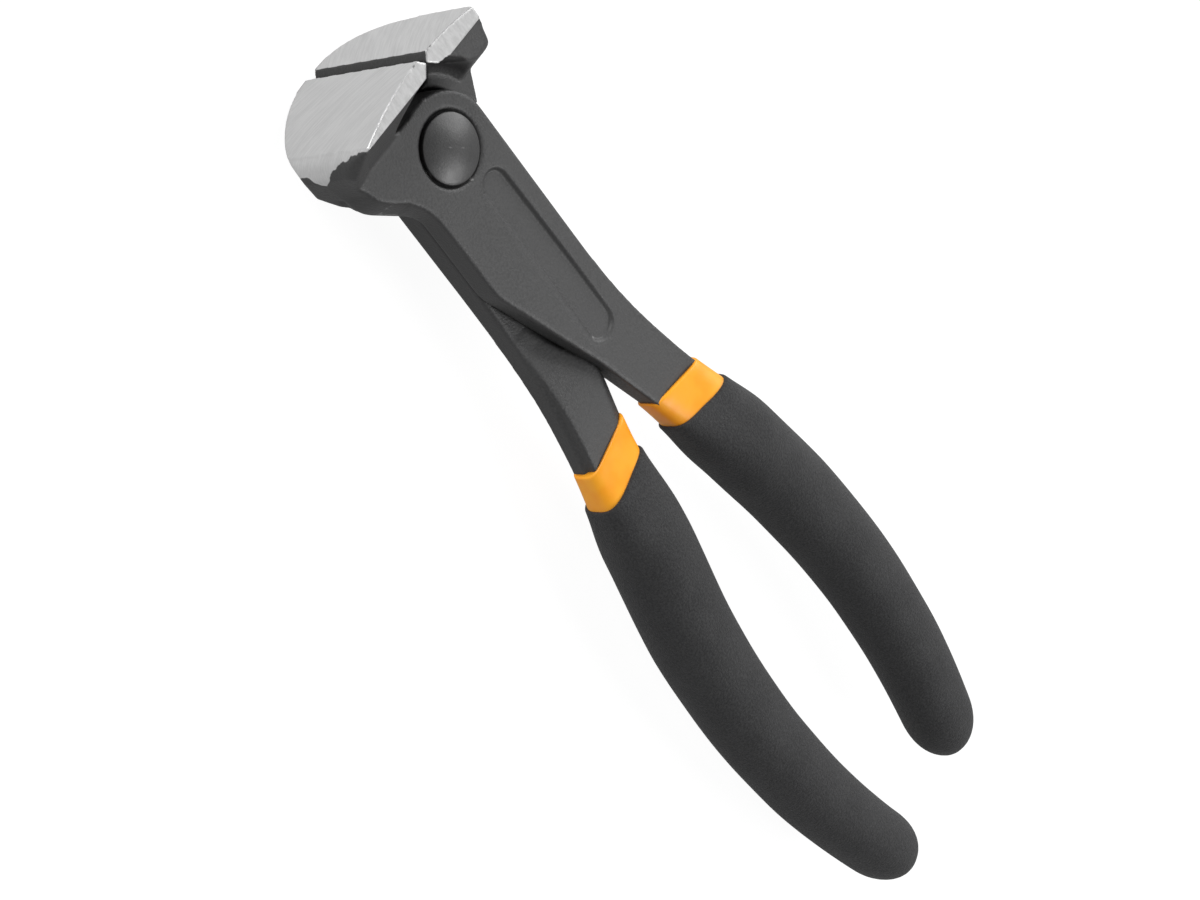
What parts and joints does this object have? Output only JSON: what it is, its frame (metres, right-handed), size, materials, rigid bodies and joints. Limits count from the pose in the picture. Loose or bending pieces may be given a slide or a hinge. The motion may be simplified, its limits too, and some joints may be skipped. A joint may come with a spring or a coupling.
{
  "type": "end cutting nippers",
  "caption": "End cutting nippers: lapped forged halves on a domed rivet, broad ground jaws with a cutting edge across the end, and dipped bow handles.",
  "frame": {"origin": "middle of the outline on the plane that the back of the jaws lies on", "axes": "+Y from the handles to the cutting edges, +Z along the rivet towards its domed head, +X to the front half's handle"},
  "size_m": [0.0564, 0.2029, 0.032],
  "materials": {
    "forged_steel": "fine-grained black oxide on the forged faces, with bare brushed steel on the ground jaw ends",
    "rivet_steel": "satin black",
    "collar_vinyl": "semi-gloss orange dip",
    "grip_vinyl": "matt, fine sandy grain"
  },
  "bodies": {
    "rear_handle": {"rear_half": "forged_steel", "pivot_rivet": "rivet_steel", "rear_grip_liner": "collar_vinyl", "rear_grip": "grip_vinyl"},
    "front_handle": {"front_half": "forged_steel", "front_grip_liner": "collar_vinyl", "front_grip": "grip_vinyl"}
  },
  "joints": [
    {"name": "rivet_pivot", "type": "hinge", "parent": "rear_handle", "child": "front_handle", "pos_m": [0, 0.0808, 0.01645], "axis": [0, 0, 1], "range_deg": [0, 30]}
  ]
}
